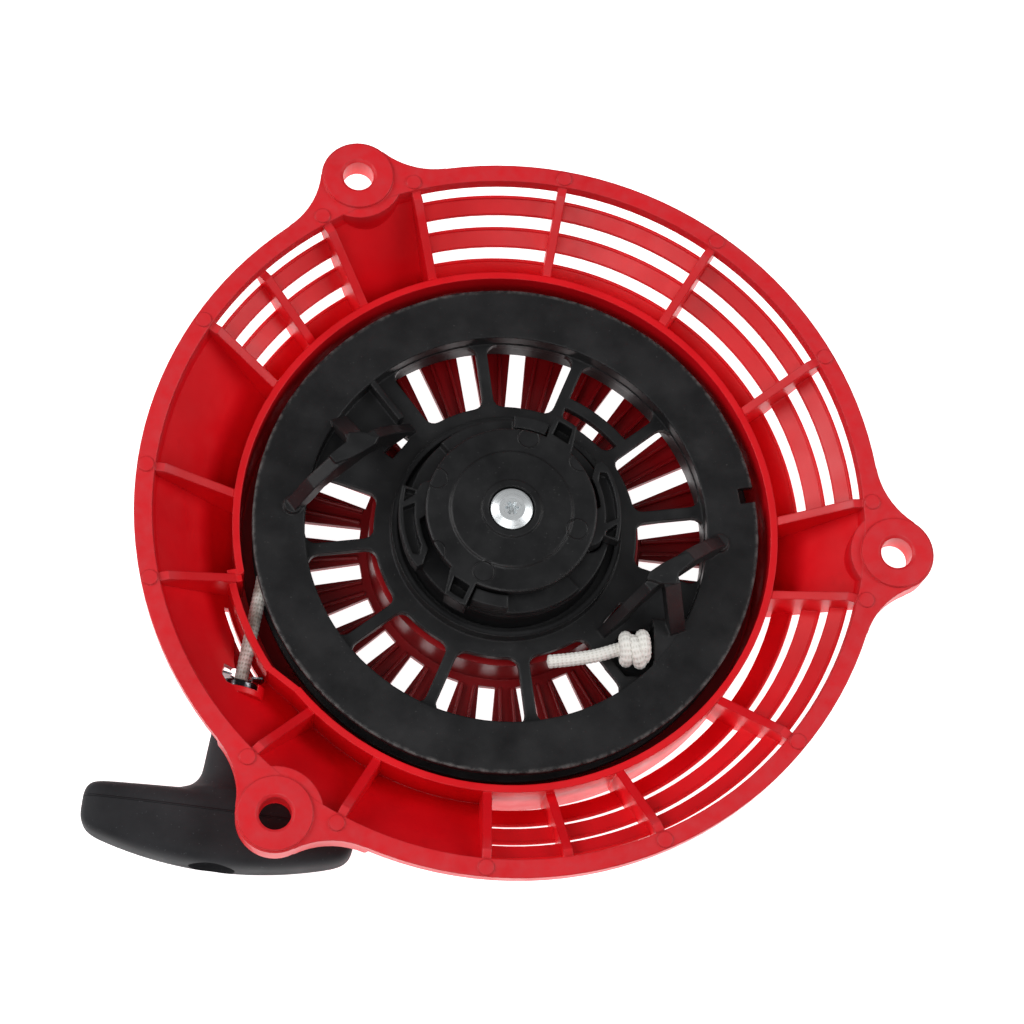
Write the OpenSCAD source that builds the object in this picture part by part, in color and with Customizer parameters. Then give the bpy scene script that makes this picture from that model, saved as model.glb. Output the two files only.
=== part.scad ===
// Recoil starter for a small vertical-shaft engine.
// Origin: starter axis, in the plane of the flange face. +Z points to the engine.

/* [Mounting flange] */
// Diameter of the circle through the three bolt holes
bolt_circle_d = 190; // [189:0.5:191]
// Diameter of each bolt hole
bolt_hole_d = 7.7; // [6:0.1:8.4]
// Outer diameter of the flange
flange_d = 182.7; // [182.2:0.1:183.2]
// Inner diameter of the flange's flat face
flange_in_d = 174; // [173.6:0.1:174.4]
// Thickness of the flange plate
flange_t = 2.4; // [2:0.1:2.8]
// Thickness of the lugs under their faces
lug_t = 6.5; // [6:0.1:7]
// Height of the lug faces above the flange face
lug_rise = 0.8; // [0.4:0.1:1.2]

/* [Cup] */
// Outer radius of the cup wall that surrounds the reel
cup_r = 68; // [67.8:0.1:68.2]
// Wall thickness of the cup
cup_t = 1.8; // [1.5:0.1:2]
// Height of the cup wall's top edge
cup_top_z = -14; // [-15:0.5:-13]
// Height of the cup floor
floor_z = -36.6; // [-37.2:0.1:-36.2]
// Thickness of the cup floor
floor_t = 2; // [1.6:0.1:2.4]
// Number of slots in the floor
slot_count = 24; // [12:1:24]
// Width of each floor slot
slot_w = 4.2; // [3:0.1:4.6]

/* [Reel] */
// Outer radius of the reel's flanges
reel_r = 63.2; // [62.6:0.1:63.6]
// Height of the reel's upper flange face
rim_z = -14.5; // [-14.8:0.1:-14.3]
// Width of the spokes
spoke_w = 2.8; // [2:0.1:4]
// Radial clearance of the reel on the post
reel_clearance = 0.06; // [0.03:0.01:0.09]

/* [Rope and grip] */
// Diameter of the rope
rope_d = 3.5; // [3:0.1:3.8]
// Length of the grip's crossbar
grip_l = 65.5; // [62:0.5:67]
// Thickness of the grip
grip_t = 17; // [14:0.5:17]

/* [Hidden] */
$fn = 96;

// colours of the mouldings and metals
red = [0.78, 0.08, 0.12];
black = [0.12, 0.12, 0.13];
dark_black = [0.08, 0.08, 0.09];
zinc = [0.78, 0.80, 0.82];
spring_steel = [0.45, 0.46, 0.50];
rope_white = [0.90, 0.88, 0.82];

// flange and lugs
flange_r = flange_d / 2;
flange_in_r = flange_in_d / 2;
bolt_r = bolt_circle_d / 2;
lug_angles = [114.35, 234.35, 354.35];
lug_r = 9.3;
lug_face_r = 8.8;
lug_fillet_r = 20;
lug_fillet_x = (pow(flange_r + lug_fillet_r, 2) - pow(lug_r + lug_fillet_r, 2) + bolt_r * bolt_r)
               / (2 * bolt_r);
lug_fillet_y = sqrt(pow(flange_r + lug_fillet_r, 2) - lug_fillet_x * lug_fillet_x);
bolt_pocket_r = 9.6;
bolt_pocket_wall = 1.7;
lip_h = 3.6;

// skirt between flange and cup: plain sectors and louvred sectors, [start, sweep] in degrees
plain_sectors = [[106.4, 16.1], [148.5, 117.5], [346, 17]];
louvre_sectors = [[3, 103.4], [122.5, 26], [266, 80]];
skirt_wall = [[flange_in_r + 0.4, -0.9], [86.3, -4.5], [69.3, -26.5], [67.4, -29],
              [67.4, -31.6], [70, -29.3], [88, -5.85], [88.9, -0.9]];
louvre_bars = [[[85.8, -6.4], [82.05, -9], [82.05, -10], [85.2, -8.4], [85.9, -7.4]],
               [[80.5, -14.1], [76.35, -16.3], [76.35, -17.2], [79.9, -15.9], [80.6, -15]],
               [[74.74, -21], [70.3, -24], [70.3, -25], [74.2, -22.9], [74.85, -22]]];

// radial ribs that tie the cup to the flange
rib_t = 2.2;
tall_rib_angles = [2.4, 28, 54.3, 81.5, 106.4, 122.5, 149, 175, 193.5, 225.8, 242.6, 266,
                   293.7, 320, 346];
low_rib_angles = [136, 279];
rib_side = [[67, -14.25], [68.2, -14.25], [84.6, -0.8], [88.2, -0.8], [88, -5.7], [70, -29.1], [67, -30.4]];
low_rib_side = [[67, -17], [68.2, -17], [84.6, -3], [87.6, -3], [87.6, -6.1], [70, -29.1], [67, -30.4]];
ejector_r = 1.9;
ejector_rise = 0.4;

// rope window: the cup wall steps outward where the rope leaves
jog_start = 192.5;
jog_end = 214;
jog_return = 220.6;
jog_r = 70.5;
wall_join_z = -27.6;
plate_t = 1.6;
step = 0.05;

// rope line: along the winding's tangent through the eyelet, then on to the grip
rope_z = -20;
rope_r = rope_d / 2;
eyelet_at = [-65, -42.6, rope_z];
case_line_deg = 260;
grip_line_deg = 263.5;
eyelet_bore_r = 2.9;
boss_r = 6.2;
boss_in = 1.2;
boss_out = 1.9;
bushing_r = 4.6;
bushing_in = -1.6;
bushing_seat = 0.6;
notch_half = 4.5;
notch_in = -4.5;
lip_seat_r = 3.98;
lip_seat_h = 1.8;

// centre post
base_z = floor_z - floor_t;
post_r = 7;
post_top_z = -10.5;
spigot_r = 4.4;
spigot_top_z = -3;
screw_hole_r = 3;
screw_hole_z = -24;
housing_in_r = 32;
housing_r = 34;
housing_top_z = -23.5;
housing_slot_deg = 60;

// reel
rim_in_r = 51.7;
core_r = 52;
core_in_r = 50.3;
rim_t = 2;
lower_flange_z = -24.5;
lower_flange_t = 1.8;
web_z = -19.2;
web_t = 2.3;
hub_disc_r = 33;
window_corner_r = 2.6;
hub_ring_r = 28.8;
hub_ring_t = 1.5;
hub_ring_z = -15.5;
hub_r = 25.3;
ledge_z = -10.2;
deck_z = -7.6;
sleeve_r = 10;
sleeve_z = -35.9;
first_spoke = 7.5;
spoke_pitch = 30;
window_spans = [0, 1, 2, 3, 6, 7, 8, 9];
// the two windows beside the stays run up to a stay instead of a spoke
short_windows = [[163, 187.5], [343, 367.5]];

// stays: a three-legged bridge on each side of the reel
stay_apex = [38, -15, -1.5];
stay_tip = [53.2, -3.4, -14];
stay_foot = [42.3, -26.6, -14.6];
stay_heel = [23.6, -26.4, -19];
stay_post_w = 4;

// knot pocket: a bucket under the web, with a raised block between it and the rim
knot_hole = [[26.6, -29.6], [28.8, -25.6], [36.4, -25.3], [36.4, -33.9], [33.2, -37],
             [29.6, -37], [26.6, -33.2]];
knot_bucket = [[24.9, -29.4], [27.8, -24], [37.9, -23.7], [37.9, -33.9], [33.8, -38],
               [29, -38.4], [25.2, -33.8]];
knot_floor_z = -23.6;
knot_floor_t = 1.3;
foot_block_z = -15.1;

// ratchets: pivot, crescent and swing
ratchet_pivot_r = 20.3;
ratchet_pivot_deg = 167;
ratchet_low_z = -9.8;
ratchet_top_z = -5.6;
ratchet_pin_r = 1.8;
ratchet_bore_r = 1.86;
ratchet_pin_top_z = -7.1;
ratchet_pocket_depth = 2.6;
spring_cup_r = 3.6;
spring_cup_z = -14.2;

// guide
guide_r = 21.1;
guide_low_z = -5;
guide_top_z = -2.8;
cam_low_z = -9.6;
cam_start = 226;
cam_end = 245.8;
cam_out_r = 27.3;

// grip
grip_nose_start = 3.7;
grip_nose_r = 2.9;
grip_neck_start = 7.2;
grip_neck_r = 4.55;
grip_shoulder_r = 6.2;
grip_neck_end = 27;
grip_bar_at = 35.5;
grip_bore_r = 2.1;
grip_pocket_r = 5.6;
grip_pocket_at = 31;
grip_end = 44.5;

// rope route inside the case, straight from the winding to the eyelet
run_route = [[-59.7, -12.6], [-61.1, -20.4], [-62.5, -28.4], [-63.8, -35.8], [-65, -42.6], [-65.3, -45.2]];
tail_route = [[26.6, -31.7, -17], [22, -32.6, -17.2], [16, -33.6, -17.4], [10.4, -34.3, -17.4]];
grip_rope_start = 3.4;
grip_rope_end = 32.8;
grip_rope_steps = 5;

// mainspring
spring_turns = 9;
spring_in_r = 11.4;
spring_out_r = 30.4;
spring_strip = 0.7;
spring_low_z = -35.4;
spring_h = 11;
spring_steps = 20;

function polar(r, a) = [r * cos(a), r * sin(a)];

function arc(center, r, from, to, steps) =
    [for (i = [0:steps]) center + polar(r, from + (to - from) * i / steps)];

// window between two spokes at angles a0 and a1, with rounded corners
function window_points(r0, r1, a0, a1, half, rc) =
    let (inner = asin((half + rc) / (r0 + rc)), outer = asin((half + rc) / (r1 - rc)))
    concat(
        arc(polar(r1 - rc, a0 + outer), rc, a0 - 90, a0 + outer, 4),
        arc([0, 0], r1, a0 + outer + 2, a1 - outer - 2, 5),
        arc(polar(r1 - rc, a1 - outer), rc, a1 - outer, a1 + 90, 4),
        arc(polar(r0 + rc, a1 - inner), rc, a1 + 90, a1 + 180 - inner, 4),
        arc([0, 0], r0, a1 - inner - 2, a0 + inner + 2, 4),
        arc(polar(r0 + rc, a0 + inner), rc, a0 + 180 + inner, a0 + 270, 4));

// turn a ring of section points about the axis between two angles
module sector(from, sweep) {
    rotate([0, 0, from]) rotate_extrude(angle = sweep) children();
}

// lay a child that is drawn along +Z onto the rope line, s millimetres past the eyelet point
module on_line(deg, s) {
    translate(eyelet_at) rotate([0, 0, deg]) translate([s, 0, 0]) rotate([0, 90, 0]) children();
}

// upright plate from p to q, t thick, between two heights
module plate(p, q, t, low, high) {
    d = q - p;
    translate([p[0], p[1], low])
        rotate([0, 0, atan2(d[1], d[0])])
            translate([0, -t / 2, 0]) cube([norm(d), t, high - low]);
}

// plain tube with flat ends along a list of points
module tube(points, r, sides) {
    last = len(points) - 1;
    rings = [for (i = [0:last])
        let (d = points[min(i + 1, last)] - points[max(i - 1, 0)],
             u = d / norm(d),
             side = cross([0, 0, 1], u) / norm(cross([0, 0, 1], u)),
             up = cross(u, side))
        for (k = [0:sides - 1])
            points[i] + r * (cos(360 * k / sides) * side + sin(360 * k / sides) * up)];
    walls = [for (i = [0:last - 1]) for (k = [0:sides - 1])
        [i * sides + k, (i + 1) * sides + k, (i + 1) * sides + (k + 1) % sides, i * sides + (k + 1) % sides]];
    start = [for (k = [0:sides - 1]) k];
    end = [for (k = [sides - 1:-1:0]) last * sides + k];
    polyhedron(rings, concat(walls, [start, end]));
}

// ---- case ----

module flange_section() {
    polygon([[flange_in_r, 0], [flange_r, 0], [flange_r, -lip_h], [flange_r - 1.5, -lip_h],
             [flange_r - 1.7, -flange_t], [88.5, -flange_t], [88.2, -3.1], [86.8, -3.1]]);
}

module cup_section() {
    corner = 4;
    difference() {
        union() {
            translate([0, base_z]) square([cup_r - corner, cup_top_z - base_z]);
            translate([0, base_z + corner]) square([cup_r, cup_top_z - base_z - corner]);
            translate([cup_r - corner, base_z + corner]) circle(corner);
        }
        translate([-1, floor_z]) square([cup_r - cup_t + 1, 40]);
    }
}

module cup_walls() {
    difference() {
        rotate_extrude() cup_section();
        sector(jog_start, jog_return - jog_start)
            translate([cup_r - cup_t - 1, wall_join_z]) square([cup_t + 2, 30]);
    }
    sector(jog_start, jog_end - jog_start)
        translate([jog_r - cup_t, wall_join_z - 1]) square([cup_t, cup_top_z - wall_join_z + 1]);
    plate(polar(cup_r - cup_t + 0.2, jog_start - 0.3), polar(jog_r - 0.25, jog_start - 0.3), plate_t,
          wall_join_z - 0.6, cup_top_z - step);
    plate(polar(jog_r - cup_t / 2, jog_end - 0.5), polar(cup_r - cup_t / 2, jog_return + 0.4), plate_t,
          wall_join_z - 0.6, cup_top_z - step);
    // floor of the step, under the rope
    sector(jog_start - 0.6, jog_return - jog_start + 1)
        translate([cup_r - cup_t + 0.3, wall_join_z - 2.2]) square([jog_r - cup_r + cup_t - 0.8, 1.6]);
}

module ribs() {
    for (a = tall_rib_angles) {
        rotate([90, 0, a]) linear_extrude(rib_t, center = true) polygon(rib_side);
        rotate([0, 0, a]) translate([flange_r - 2.2, 0, -1]) cylinder(r = ejector_r, h = 1 + ejector_rise);
    }
    for (a = low_rib_angles)
        rotate([90, 0, a]) linear_extrude(rib_t, center = true) polygon(low_rib_side);
}

module lug_body() {
    difference() {
        union() {
            translate([bolt_r, 0, -lug_t]) cylinder(r = lug_r, h = lug_t);
            translate([0, 0, -lug_t]) linear_extrude(lug_t)
                polygon([[87, -22.4], [88.6, -21.8], [99.2, -8.2], [99.2, 8.2], [88.6, 21.8], [87, 22.4]]);
        }
        translate([lug_fillet_x, lug_fillet_y, -lug_t - 1]) cylinder(r = lug_fillet_r - 0.1, h = lug_t + 2);
        translate([lug_fillet_x, -lug_fillet_y, -lug_t - 1]) cylinder(r = lug_fillet_r - 0.1, h = lug_t + 2);
        translate([0, 0, -lug_t - 1]) cylinder(r = 88.3, h = lug_t + 2);
    }
    intersection() {
        translate([bolt_r, 0, -14]) cylinder(r = bolt_pocket_r + bolt_pocket_wall, h = 13.9);
        sector(-10, 20) polygon([[80, -0.1], [90, -0.1], [88, -5.85], [80, -16.2]]);
    }
    translate([bolt_r, 0, -1]) cylinder(r = lug_face_r, h = 1 + lug_rise);
}

module lug_cuts() {
    translate([bolt_r, 0, -lug_t - 6]) cylinder(r = bolt_hole_d / 2, h = lug_t + 10);
    translate([bolt_r, 0, lug_rise - 0.65])
        cylinder(r1 = bolt_hole_d / 2 - 0.05, r2 = bolt_hole_d / 2 + 0.7, h = 0.7);
    translate([bolt_r, 0, -30]) cylinder(r = bolt_pocket_r, h = 30 - lug_t);
}

module spring_housing() {
    difference() {
        translate([0, 0, floor_z - 0.5]) cylinder(r = housing_r, h = housing_top_z - floor_z + 0.5);
        translate([0, 0, floor_z]) cylinder(r = housing_in_r, h = housing_top_z - floor_z + 1);
        rotate([0, 0, housing_slot_deg]) translate([housing_in_r - 2, -1.5, floor_z + 0.6]) cube([6, 3, 20]);
    }
    translate([0, 0, floor_z - 0.5]) cylinder(r = post_r, h = post_top_z - floor_z + 0.5);
    translate([0, 0, post_top_z - 0.5]) cylinder(r = spigot_r, h = spigot_top_z - post_top_z + 0.5);
}

module case_body() {
    color(red) difference() {
        union() {
            rotate_extrude() flange_section();
            for (s = plain_sectors) sector(s[0], s[1]) polygon(skirt_wall);
            for (s = louvre_sectors) for (bar = louvre_bars) sector(s[0] - 0.5, s[1] + 1) polygon(bar);
            cup_walls();
            ribs();
            for (a = lug_angles) rotate([0, 0, a]) lug_body();
            spring_housing();
            on_line(case_line_deg, -boss_in) cylinder(r = boss_r, h = boss_in + boss_out);
        }
        for (a = lug_angles) rotate([0, 0, a]) lug_cuts();
        for (k = [0:slot_count - 1])
            rotate([0, 0, 10 + 360 / slot_count * k])
                translate([36, -slot_w / 2, base_z - 1]) cube([22, slot_w, floor_t + 1.5]);
        translate([0, 0, screw_hole_z]) cylinder(r = screw_hole_r, h = 30);
        on_line(case_line_deg, -20) cylinder(r = eyelet_bore_r, h = 40);
        // seats for the eyelet's head and rolled lip, and the notch it drops in through
        on_line(case_line_deg, boss_out + 0.02) cylinder(r = lip_seat_r, h = lip_seat_h);
        on_line(case_line_deg, bushing_in - 0.4)
            cylinder(r = bushing_r + 0.2, h = bushing_seat - bushing_in + 0.4);
        translate(eyelet_at) rotate([0, 0, case_line_deg]) translate([notch_in, -notch_half, 0])
            cube([bushing_seat - 0.15 - notch_in, 2 * notch_half, 7.4]);
        translate([-66.5, -33.5, rope_z - 3.5]) cube([9, 10, 7]);
        sector(197, 16) translate([71.5, base_z]) square([1.1, base_z + 60]);
        translate([0, 0, base_z - 1]) cylinder(r = 22, h = 1.5);
    }
}

// ---- fittings on the case ----

module rope_eyelet() {
    lip_r = 0.8;
    bore = 2.25;
    low = bushing_in;
    seat = bushing_seat - 0.05;
    high = boss_out + lip_r + 0.05;
    color(zinc) on_line(case_line_deg, 0) rotate_extrude() {
        polygon([[bore, low + 0.6], [bore + 0.6, low], [bushing_r - 0.4, low], [bushing_r, low + 0.4],
                 [bushing_r, seat], [bore + 0.55, seat], [bore + 0.55, high], [bore, high]]);
        translate([bore + lip_r, high]) circle(lip_r);
    }
}

module center_screw() {
    color(zinc) difference() {
        union() {
            translate([0, 0, spigot_top_z + 0.02]) cylinder(r = 5.2, h = 0.5);
            translate([0, 0, spigot_top_z + 0.5]) cylinder(r1 = 5.2, r2 = 3.2, h = 0.75);
            translate([0, 0, screw_hole_z + 3])
                cylinder(r = screw_hole_r - 0.08, h = spigot_top_z - screw_hole_z - 2.5);
            translate([0, 0, screw_hole_z + 1.2]) cylinder(r1 = 1.8, r2 = screw_hole_r - 0.08, h = 2);
        }
        for (a = [0, 60, 120]) rotate([0, 0, a])
            translate([-1.7, -0.45, spigot_top_z - 0.6]) cube([3.4, 0.9, 4]);
    }
}

module mainspring() {
    steps = spring_turns * spring_steps;
    hook_r = housing_r + 1.6;
    hook_deg = 1.4;
    function spring_r(i) = spring_in_r + (spring_out_r - spring_in_r) * i / steps;
    function spring_at(i, side) =
        polar(spring_r(i) + side * spring_strip / 2, housing_slot_deg + 360 * i / spring_steps);
    color(spring_steel) translate([0, 0, spring_low_z]) linear_extrude(spring_h)
        polygon(concat([for (i = [0:steps]) spring_at(i, 1)],
                       [polar(hook_r, housing_slot_deg), polar(hook_r, housing_slot_deg + hook_deg),
                        polar(spring_out_r - spring_strip / 2, housing_slot_deg + hook_deg)],
                       [for (i = [steps:-1:0]) spring_at(i, -1)]));
}

// ---- reel ----

module reel_section() {
    // upper flange, core and lower flange of the rope groove
    polygon([[core_in_r, rim_z - 0.5], [rim_in_r, rim_z - 0.4], [reel_r - 0.3, rim_z], [reel_r, rim_z - 0.3],
             [reel_r, rim_z - rim_t], [core_r, rim_z - rim_t], [core_r, lower_flange_z],
             [reel_r, lower_flange_z], [reel_r, lower_flange_z - lower_flange_t],
             [core_in_r, lower_flange_z - lower_flange_t]]);
}

module hub_section() {
    bore = post_r + reel_clearance;
    under_z = web_z - web_t;
    polygon([[bore, sleeve_z], [sleeve_r, sleeve_z], [sleeve_r, under_z - 1.2], [12, under_z - 1.2],
             [12, ledge_z - 2.4], [hub_r - 1.8, ledge_z - 2.4], [hub_r - 1.8, under_z],
             [core_in_r + 0.6, under_z], [core_in_r + 0.6, web_z], [hub_ring_r, web_z],
             [hub_ring_r, hub_ring_z + 0.4], [hub_ring_r - 0.4, hub_ring_z],
             [hub_ring_r - hub_ring_t, hub_ring_z], [hub_ring_r - hub_ring_t, web_z - 0.6],
             [hub_r, web_z - 0.6], [hub_r, ledge_z], [bore, ledge_z - 0.7]]);
}

module reel_windows() {
    half = spoke_w / 2;
    for (k = window_spans)
        translate([0, 0, -30]) linear_extrude(30 + web_z + 1)
            polygon(window_points(hub_disc_r, core_in_r - 0.2, first_spoke + spoke_pitch * k,
                                  first_spoke + spoke_pitch * (k + 1), half, window_corner_r));
    for (w = short_windows)
        translate([0, 0, -30]) linear_extrude(30 + web_z + 1)
            polygon(window_points(hub_disc_r, core_in_r - 0.2, w[0], w[1], half, window_corner_r));
}

module stay() {
    apex_plate = [[-5.2, -2.3], [-3.4, -2.6], [-1.8, -3.3], [2.2, -3.2], [2.8, -0.6],
                  [6.8, 3], [5.2, 4.9], [1.7, 3.5], [-1.6, 1.6], [-4.4, -0.4]];
    lean = stay_tip - stay_apex;
    drop = stay_heel - stay_apex;
    post = stay_foot - stay_apex;
    // arm to the rim, drawn in its own upright plane
    translate(stay_apex) rotate([0, 0, atan2(lean[1], lean[0])]) rotate([90, 0, 0])
        linear_extrude(3.4, center = true)
            polygon([[-2, 0], [7, -0.8], [14, -5.4], [20.2, lean[2]], [20.2, lean[2] - 1.2],
                     [15, lean[2] - 1.2], [11, -9.2], [-2, -6.5]]);
    translate([stay_tip[0], stay_tip[1], stay_tip[2] - 1.2]) cylinder(r = 2.3, h = 1.6);
    // arm to the hub
    translate(stay_apex) rotate([0, 0, atan2(drop[1], drop[0])]) rotate([90, 0, 0])
        linear_extrude(2.6, center = true)
            polygon([[-1, 0], [6, -1.5], [12, -8], [18.4, drop[2]], [18.4, drop[2] - 1], [12.5, drop[2] - 1],
                     [7.5, -10.5], [-1, -7]]);
    // post to the rim
    translate(stay_apex) rotate([0, 0, atan2(post[1], post[0])]) rotate([90, 0, 0])
        linear_extrude(stay_post_w, center = true)
            polygon([[0, 0], [3.6, -0.6], [12.6, post[2]], [12.6, post[2] - 1],
                     [9.4, post[2] - 1], [2.4, -3.6], [0, -3.6]]);
    translate([stay_apex[0], stay_apex[1], stay_apex[2] - 3.4]) linear_extrude(3.45) polygon(apex_plate);
}

module reel() {
    deck_spans = [[67, 66], [247, 66]];
    stop_spans = [[67, 21], [247, 21]];
    color(black) difference() {
        union() {
            rotate_extrude() reel_section();
            difference() {
                rotate_extrude() hub_section();
                reel_windows();
            }
            // extra arc bar in one window
            sector(first_spoke + spoke_pitch, spoke_pitch)
                translate([36.6, web_z - web_t]) square([2.9, web_t]);
            for (s = deck_spans) sector(s[0], s[1]) translate([12.3, ledge_z - 0.3])
                square([hub_r - 12.5, deck_z - ledge_z + 0.3]);
            for (s = stop_spans) sector(s[0] + 0.2, s[1]) translate([21.7, deck_z - 0.3]) square([3.2, 4]);
            translate([0, 0, knot_floor_z - knot_floor_t])
                linear_extrude(web_z - 0.1 - knot_floor_z + knot_floor_t) polygon(knot_bucket);
            // block under the foot of the stay, level with the rim
            translate([0, 0, web_z - 0.3]) linear_extrude(foot_block_z - web_z + 0.3)
                polygon(concat([[36.1, -23.3], [36.1, -35]],
                               arc([0, 0], 50.9, 316.5, 331, 4), [[44.9, -23.3]]));
            // rib beside the empty pocket on the other side
            plate(polar(50.9, 132.6), polar(38.3, 134.1), 1.6, web_z - 0.2, foot_block_z - 0.1);
            for (a = [0, 180]) rotate([0, 0, a]) {
                stay();
                rotate([0, 0, ratchet_pivot_deg]) translate([ratchet_pivot_r, 0, spring_cup_z - 1.6])
                    cylinder(r = spring_cup_r + 1.4, h = ledge_z - spring_cup_z + 1.4);
            }
        }
        for (a = [0, 180]) rotate([0, 0, a]) {
            rotate([0, 0, ratchet_pivot_deg]) translate([ratchet_pivot_r, 0, 0]) difference() {
                translate([0, 0, spring_cup_z]) cylinder(r = spring_cup_r, h = 10);
                translate([0, 0, spring_cup_z - 1])
                    cylinder(r = ratchet_pin_r, h = ratchet_pin_top_z - spring_cup_z + 1);
            }
            // slot in the web beside the hub
            rotate([0, 0, 322]) translate([33.6, -3.4, web_z - 6]) cube([2.6, 6.8, 8]);
        }
        rotate([0, 0, 9]) translate([59.3, -2, rim_z - 3]) cube([6, 4, 4]);
        // way for the rope from the groove to its knot
        translate([31.2, -31.1, -19]) rotate([0, 90, -38]) translate([0, 0, 4]) cylinder(r = 2.1, h = 24);
        translate([0, 0, knot_floor_z]) linear_extrude(12) polygon(knot_hole);
    }
}

module rope_winding() {
    color(rope_white) rotate_extrude()
        translate([core_r + 0.12, lower_flange_z + 0.15]) square([6.4, rim_z - rim_t - lower_flange_z - 0.3]);
}

module rope_knot() {
    color(rope_white) hull() {
        translate([29.6, -31.2, -16.8]) scale([0.55, 1, 0.85]) sphere(4.6, $fn = 24);
        translate([33.4, -30.9, -16.6]) scale([0.55, 1, 0.85]) sphere(4.8, $fn = 24);
    }
}

module rope_tail() {
    color(rope_white) tube(tail_route, rope_r, 8);
}

// ---- ratchets and their guide ----

module ratchet_guide() {
    bore = spigot_r + 0.06;
    color(dark_black) difference() {
        union() {
            rotate_extrude() polygon([[bore, -6.3], [8.6, -6.3], [8.6, guide_low_z], [guide_r, guide_low_z],
                [guide_r, guide_top_z - 0.3], [guide_r - 0.3, guide_top_z], [15.2, guide_top_z],
                [14.8, guide_top_z + 0.5], [7.4, guide_top_z + 0.5], [7.4, -1.9], [5.6, -1.9],
                [5.6, spigot_top_z - 0.28], [bore, spigot_top_z - 0.28]]);
            for (a = [0, 180]) rotate([0, 0, a]) cam_block();
        }
        for (a = [0, 180]) rotate([0, 0, a]) cam_pocket();
    }
}

module cam_block() {
    translate([0, 0, cam_low_z]) linear_extrude(guide_top_z - cam_low_z)
        polygon(concat([polar(20.6, cam_start), polar(21.5, cam_start)],
                       arc([0, 0], cam_out_r, cam_start + 7.5, cam_end, 8),
                       [polar(20.6, cam_end)]));
}

module cam_pocket() {
    translate([0, 0, cam_low_z + 1.4]) linear_extrude(12)
        polygon(concat([polar(22.3, cam_start + 5.4)],
                       arc([0, 0], cam_out_r - 1.2, cam_start + 8.6, cam_end - 2.6, 6),
                       [polar(22.3, cam_end - 3)]));
}

module friction_spring() {
    wire_r = 0.5;
    ring_r = spigot_r + 0.06 + wire_r;
    color(spring_steel) {
        sector(20, 320) translate([ring_r, -7.2]) circle(wire_r, $fn = 24);
        for (s = [20, 340])
            rotate([0, 0, s]) translate([ring_r, 0, -7.2]) rotate([0, 90, 0])
                cylinder(r = wire_r, h = 5.6, $fn = 24);
    }
}

// crescent in the reel's own frame, tip leading the pull
module ratchet() {
    pivot = polar(ratchet_pivot_r, ratchet_pivot_deg);
    h = ratchet_top_z - ratchet_low_z;
    color(dark_black) difference() {
        union() {
            translate([0, 0, ratchet_low_z]) linear_extrude(h)
                polygon(concat(arc([0, 0], 27.4, 166.2, 208, 14), [polar(27, 212.4), polar(25.4, 212.8)],
                               arc([0, 0], 22.4, 206, 186, 6), arc([0, 0], 19.6, 180, 168, 4)));
            translate([pivot[0], pivot[1], ratchet_low_z]) cylinder(r = 3.2, h = h);
        }
        translate([pivot[0], pivot[1], ratchet_low_z - 1])
            cylinder(r = ratchet_bore_r, h = ratchet_pin_top_z - ratchet_low_z + 1.2);
        // two open pockets with a slanting rib between them
        translate([0, 0, ratchet_top_z - ratchet_pocket_depth]) linear_extrude(5) {
            polygon([polar(24, 167.8), polar(26.4, 167.8), polar(26.4, 175.4), polar(24, 170.5)]);
            polygon(concat(arc([0, 0], 26.4, 178.6, 205, 8), [polar(25, 207)],
                           arc([0, 0], 23.6, 202, 175.4, 8)));
        }
    }
}

module ratchet_spring() {
    wire_r = 0.45;
    pivot = polar(ratchet_pivot_r, ratchet_pivot_deg);
    color(spring_steel) translate([pivot[0], pivot[1], 0]) {
        rotate_extrude() for (k = [0:2])
            translate([2.45, spring_cup_z + 0.6 + k * 0.82]) circle(wire_r, $fn = 24);
        translate([0, 2.45, spring_cup_z + 2.24]) rotate([-90, 0, 0]) cylinder(r = wire_r, h = 0.6, $fn = 24);
    }
}

// ---- rope run and grip ----

module rope_run() {
    color(rope_white) tube([for (p = run_route) [p[0], p[1], rope_z]], rope_r, 8);
}

module grip() {
    color(black) difference() {
        union() {
            on_line(grip_line_deg, grip_nose_start)
                cylinder(r1 = grip_nose_r, r2 = grip_neck_r, h = grip_neck_start - grip_nose_start);
            on_line(grip_line_deg, grip_neck_start)
                cylinder(r1 = grip_neck_r, r2 = grip_shoulder_r, h = grip_neck_end - grip_neck_start);
            intersection() {
                translate(eyelet_at) rotate([0, 0, grip_line_deg]) translate([grip_bar_at, 0, 0]) hull()
                    for (s = [-1, 1]) {
                        translate([0, s * (grip_l / 2 - 7), 0])
                            scale([0.9, 1, grip_t / 14]) sphere(7, $fn = 32);
                        translate([-0.6, s * 7, 0]) scale([1.1, 1, grip_t / 18]) sphere(9, $fn = 32);
                    }
                translate(eyelet_at) rotate([0, 0, grip_line_deg]) translate([25, -40, -grip_t / 2 + 0.2])
                    cube([grip_end - 25, 80, grip_t - 0.4]);
            }
        }
        on_line(grip_line_deg, 0) cylinder(r = grip_bore_r, h = 50);
        on_line(grip_line_deg, grip_pocket_at) cylinder(r = grip_pocket_r, h = 30);
    }
}

module grip_rope() {
    reach = grip_rope_end - grip_rope_start;
    color(rope_white) tube([for (i = [0:grip_rope_steps])
        eyelet_at + (grip_rope_start + reach * i / grip_rope_steps)
            * [cos(grip_line_deg), sin(grip_line_deg), 0]],
        rope_r, 8);
}

module grip_washer() {
    color(zinc) on_line(grip_line_deg, grip_pocket_at + 0.05) difference() {
        cylinder(r = grip_pocket_r - 0.3, h = 1);
        translate([0, 0, -1]) cylinder(r = rope_r + 0.35, h = 3);
    }
}

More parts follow.
